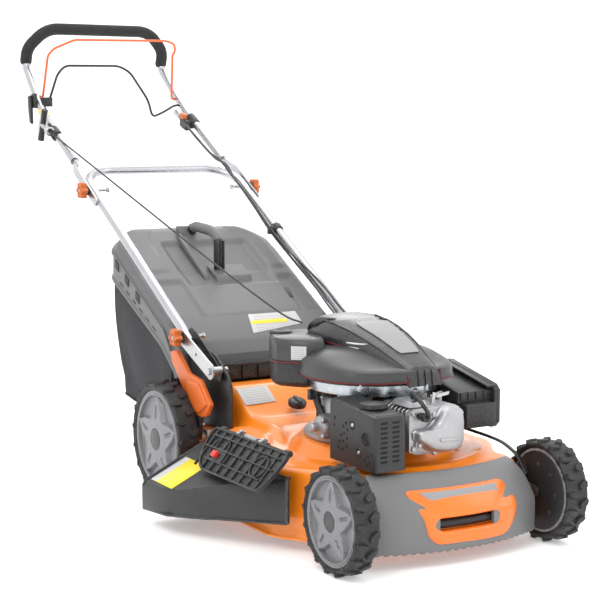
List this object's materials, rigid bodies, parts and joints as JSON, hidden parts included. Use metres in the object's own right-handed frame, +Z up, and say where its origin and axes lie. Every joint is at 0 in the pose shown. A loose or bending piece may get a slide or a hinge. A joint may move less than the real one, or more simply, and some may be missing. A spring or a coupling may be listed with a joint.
{
  "type": "walk-behind lawn mower",
  "caption": "Self-propelled walk-behind petrol mower with a steel deck, folding handle, lidded rear grass bag and side discharge chute.",
  "frame": {"origin": "middle of the machine's box on the ground", "axes": "-Y to the front, +Y to the handle grip, +X to the operator's left seen from the handle, +Z up"},
  "size_m": [0.682, 1.7967, 1.074],
  "materials": {
    "deck_orange": "gloss paint",
    "bumper_grey": "grained plastic",
    "insert_orange": "moulded plastic",
    "black_plastic": "grained plastic",
    "shroud_plastic": "satin plastic",
    "plated_steel": "zinc plated",
    "tube_steel": "silver powder coat",
    "cast_metal": "cast",
    "dark_steel": "heat-proof black",
    "axle_steel": "plain",
    "cast_iron": "cast",
    "tyre_rubber": "tread rubber",
    "hub_grey": "moulded",
    "belt_rubber": "plain",
    "foam": "foam sleeve",
    "bail_orange": "powder coat",
    "knob_orange": "moulded",
    "bail_black": "powder coat",
    "lid_grey": "grained plastic",
    "bag_fabric": "woven polyester",
    "pulley_white": "moulded",
    "cable_black": "cable sheath",
    "bush_nylon": "nylon"
  },
  "bodies": {
    "deck": {"deck_shell": "deck_orange", "front_bumper": "bumper_grey", "bumper_insert": "insert_orange", "rear_housing": "black_plastic", "handle_brackets": "plated_steel", "axle_bushes": "bush_nylon", "gearbox": "cast_metal", "drive_belt": "belt_rubber", "crankcase": "cast_metal", "cylinder_head": "cast_metal", "valve_cover": "cast_metal", "muffler": "axle_steel", "muffler_guard": "dark_steel", "engine_shroud": "shroud_plastic", "top_cover": "shroud_plastic", "fuel_tank": "shroud_plastic", "air_filter_box": "black_plastic", "air_filter_cover": "black_plastic", "carburettor": "cast_metal", "dipstick_tube": "black_plastic", "spark_plug": "belt_rubber", "deck_bolts": "plated_steel", "wash_port": "hub_grey", "side_chute": "black_plastic"},
    "crank": {"crankshaft": "axle_steel", "flywheel": "cast_iron", "blade": "axle_steel", "blade_bolt": "plated_steel"},
    "rear_axle": {"rear_axle": "axle_steel", "height_lever": "insert_orange"},
    "front_axle": {"front_axle": "axle_steel"},
    "height_link": {"height_link": "plated_steel"},
    "wheel_front_left": {"tyre_front_left": "tyre_rubber", "wheel_front_left": "hub_grey"},
    "wheel_front_right": {"tyre_front_right": "tyre_rubber", "wheel_front_right": "hub_grey"},
    "wheel_rear_left": {"tyre_rear_left": "tyre_rubber", "wheel_rear_left": "hub_grey"},
    "wheel_rear_right": {"tyre_rear_right": "tyre_rubber", "wheel_rear_right": "hub_grey"},
    "lower_handle": {"lower_handle": "tube_steel", "lower_cables": "cable_black"},
    "upper_handle": {"upper_handle": "tube_steel", "foam_grip": "foam", "handle_fittings": "black_plastic", "upper_cables": "cable_black"},
    "knob_lower_left": {"knob_lower_left": "knob_orange"},
    "knob_lower_right": {"knob_lower_right": "knob_orange"},
    "knob_upper_left": {"knob_upper_left": "knob_orange"},
    "knob_upper_right": {"knob_upper_right": "knob_orange"},
    "brake_bail": {"brake_bail": "bail_orange"},
    "drive_bail": {"drive_bail": "bail_black"},
    "starter_handle": {"starter_handle": "black_plastic"},
    "recoil_pulley": {"recoil_pulley": "pulley_white"},
    "rear_flap": {"rear_flap": "black_plastic"},
    "bag": {"bag_lid": "lid_grey", "bag_body": "bag_fabric"},
    "side_flap": {"side_flap": "black_plastic"},
    "fuel_cap": {"fuel_cap": "black_plastic"},
    "dipstick": {"dipstick": "black_plastic"}
  },
  "joints": [
    {"name": "crank_spin", "type": "hinge", "parent": "deck", "child": "crank", "pos_m": [0.0585, -0.5405, 0.1], "axis": [0, 0, 1], "continuous": true},
    {"name": "rear_lift", "type": "hinge", "parent": "deck", "child": "rear_axle", "pos_m": [0.0585, -0.2025, 0.143], "axis": [-1, 0, 0], "range_deg": [0, 35]},
    {"name": "front_lift", "type": "hinge", "parent": "deck", "child": "front_axle", "pos_m": [0.0585, -0.7145, 0.116], "axis": [1, 0, 0], "range_deg": [0, 35]},
    {"name": "link_slide", "type": "slide", "parent": "deck", "child": "height_link", "axis": [0, -1, 0], "range_m": [0, 0.0184]},
    {"name": "front_left_roll", "type": "hinge", "parent": "front_axle", "child": "wheel_front_left", "pos_m": [-0.1775, -0.8025, 0.1], "axis": [1, 0, 0], "continuous": true},
    {"name": "rear_left_roll", "type": "hinge", "parent": "rear_axle", "child": "wheel_rear_left", "pos_m": [-0.2005, -0.1145, 0.127], "axis": [1, 0, 0], "continuous": true},
    {"name": "front_right_roll", "type": "hinge", "parent": "front_axle", "child": "wheel_front_right", "pos_m": [0.2945, -0.8025, 0.1], "axis": [1, 0, 0], "continuous": true},
    {"name": "rear_right_roll", "type": "hinge", "parent": "rear_axle", "child": "wheel_rear_right", "pos_m": [0.3175, -0.1145, 0.127], "axis": [1, 0, 0], "continuous": true},
    {"name": "lower_fold", "type": "hinge", "parent": "deck", "child": "lower_handle", "pos_m": [0.0585, -0.1245, 0.347], "axis": [1, 0, 0], "range_deg": [0, 30], "deforming": ["lower_cables"]},
    {"name": "upper_fold", "type": "hinge", "parent": "lower_handle", "child": "upper_handle", "pos_m": [0.0585, 0.3955, 0.64445], "axis": [1, 0, 0], "range_deg": [0, 140], "deforming": ["upper_cables"]},
    {"name": "knob_lower_left_turn", "type": "hinge", "parent": "deck", "child": "knob_lower_left", "pos_m": [-0.1765, -0.1245, 0.347], "axis": [-1, 0, 0], "range_deg": [0, 720]},
    {"name": "knob_upper_left_turn", "type": "hinge", "parent": "lower_handle", "child": "knob_upper_left", "pos_m": [-0.1765, 0.3955, 0.64445], "axis": [-1, 0, 0], "range_deg": [0, 720]},
    {"name": "knob_lower_right_turn", "type": "hinge", "parent": "deck", "child": "knob_lower_right", "pos_m": [0.2935, -0.1245, 0.347], "axis": [1, 0, 0], "range_deg": [0, 720]},
    {"name": "knob_upper_right_turn", "type": "hinge", "parent": "lower_handle", "child": "knob_upper_right", "pos_m": [0.2935, 0.3955, 0.64445], "axis": [1, 0, 0], "range_deg": [0, 720]},
    {"name": "brake_squeeze", "type": "hinge", "parent": "upper_handle", "child": "brake_bail", "pos_m": [0.0585, 0.7815, 0.872], "axis": [-1, 0, 0], "range_deg": [0, 33], "stiffness_Nm_per_rad": 0.8, "springref_deg": -22.92},
    {"name": "drive_squeeze", "type": "hinge", "parent": "upper_handle", "child": "drive_bail", "pos_m": [0.0585, 0.7555, 0.856], "axis": [-1, 0, 0], "range_deg": [0, 20], "stiffness_Nm_per_rad": 0.8, "springref_deg": -22.92},
    {"name": "starter_pull", "type": "slide", "parent": "upper_handle", "child": "starter_handle", "axis": [-0.139, 0.92, 0.3665], "range_m": [0, 0.35], "stiffness_N_per_m": 25, "springref_m": -0.3},
    {"name": "recoil_turn", "type": "hinge", "parent": "deck", "child": "recoil_pulley", "pos_m": [0.0585, -0.5405, 0.372], "axis": [0, 0, 1], "range_deg": [0, 225]},
    {"name": "rear_flap_lift", "type": "hinge", "parent": "deck", "child": "rear_flap", "pos_m": [0.0585, -0.1225, 0.27], "axis": [1, 0, 0], "range_deg": [0, 35], "stiffness_Nm_per_rad": 0.6, "springref_deg": -34.38},
    {"name": "bag_pull", "type": "slide", "parent": "deck", "child": "bag", "axis": [0, 1, 0], "range_m": [0, 0.25]},
    {"name": "side_flap_lift", "type": "hinge", "parent": "deck", "child": "side_flap", "pos_m": [-0.2035, -0.4305, 0.197], "axis": [0, 1, 0], "range_deg": [0, 60], "stiffness_Nm_per_rad": 0.4, "springref_deg": -34.38},
    {"name": "fuel_cap_turn", "type": "hinge", "parent": "deck", "child": "fuel_cap", "pos_m": [-0.0655, -0.3865, 0.375], "axis": [0, 0, 1], "range_deg": [0, 90]},
    {"name": "dipstick_pull", "type": "slide", "parent": "deck", "child": "dipstick", "axis": [0, 0, 1], "range_m": [0, 0.02]}
  ],
  "couplings": [
    {"joint": "front_lift", "follows": "rear_lift", "ratio": 1},
    {"joint": "link_slide", "follows": "rear_lift", "m_per_rad": 0.0292},
    {"joint": "recoil_turn", "follows": "starter_pull", "rad_per_m": 11.111}
  ]
}
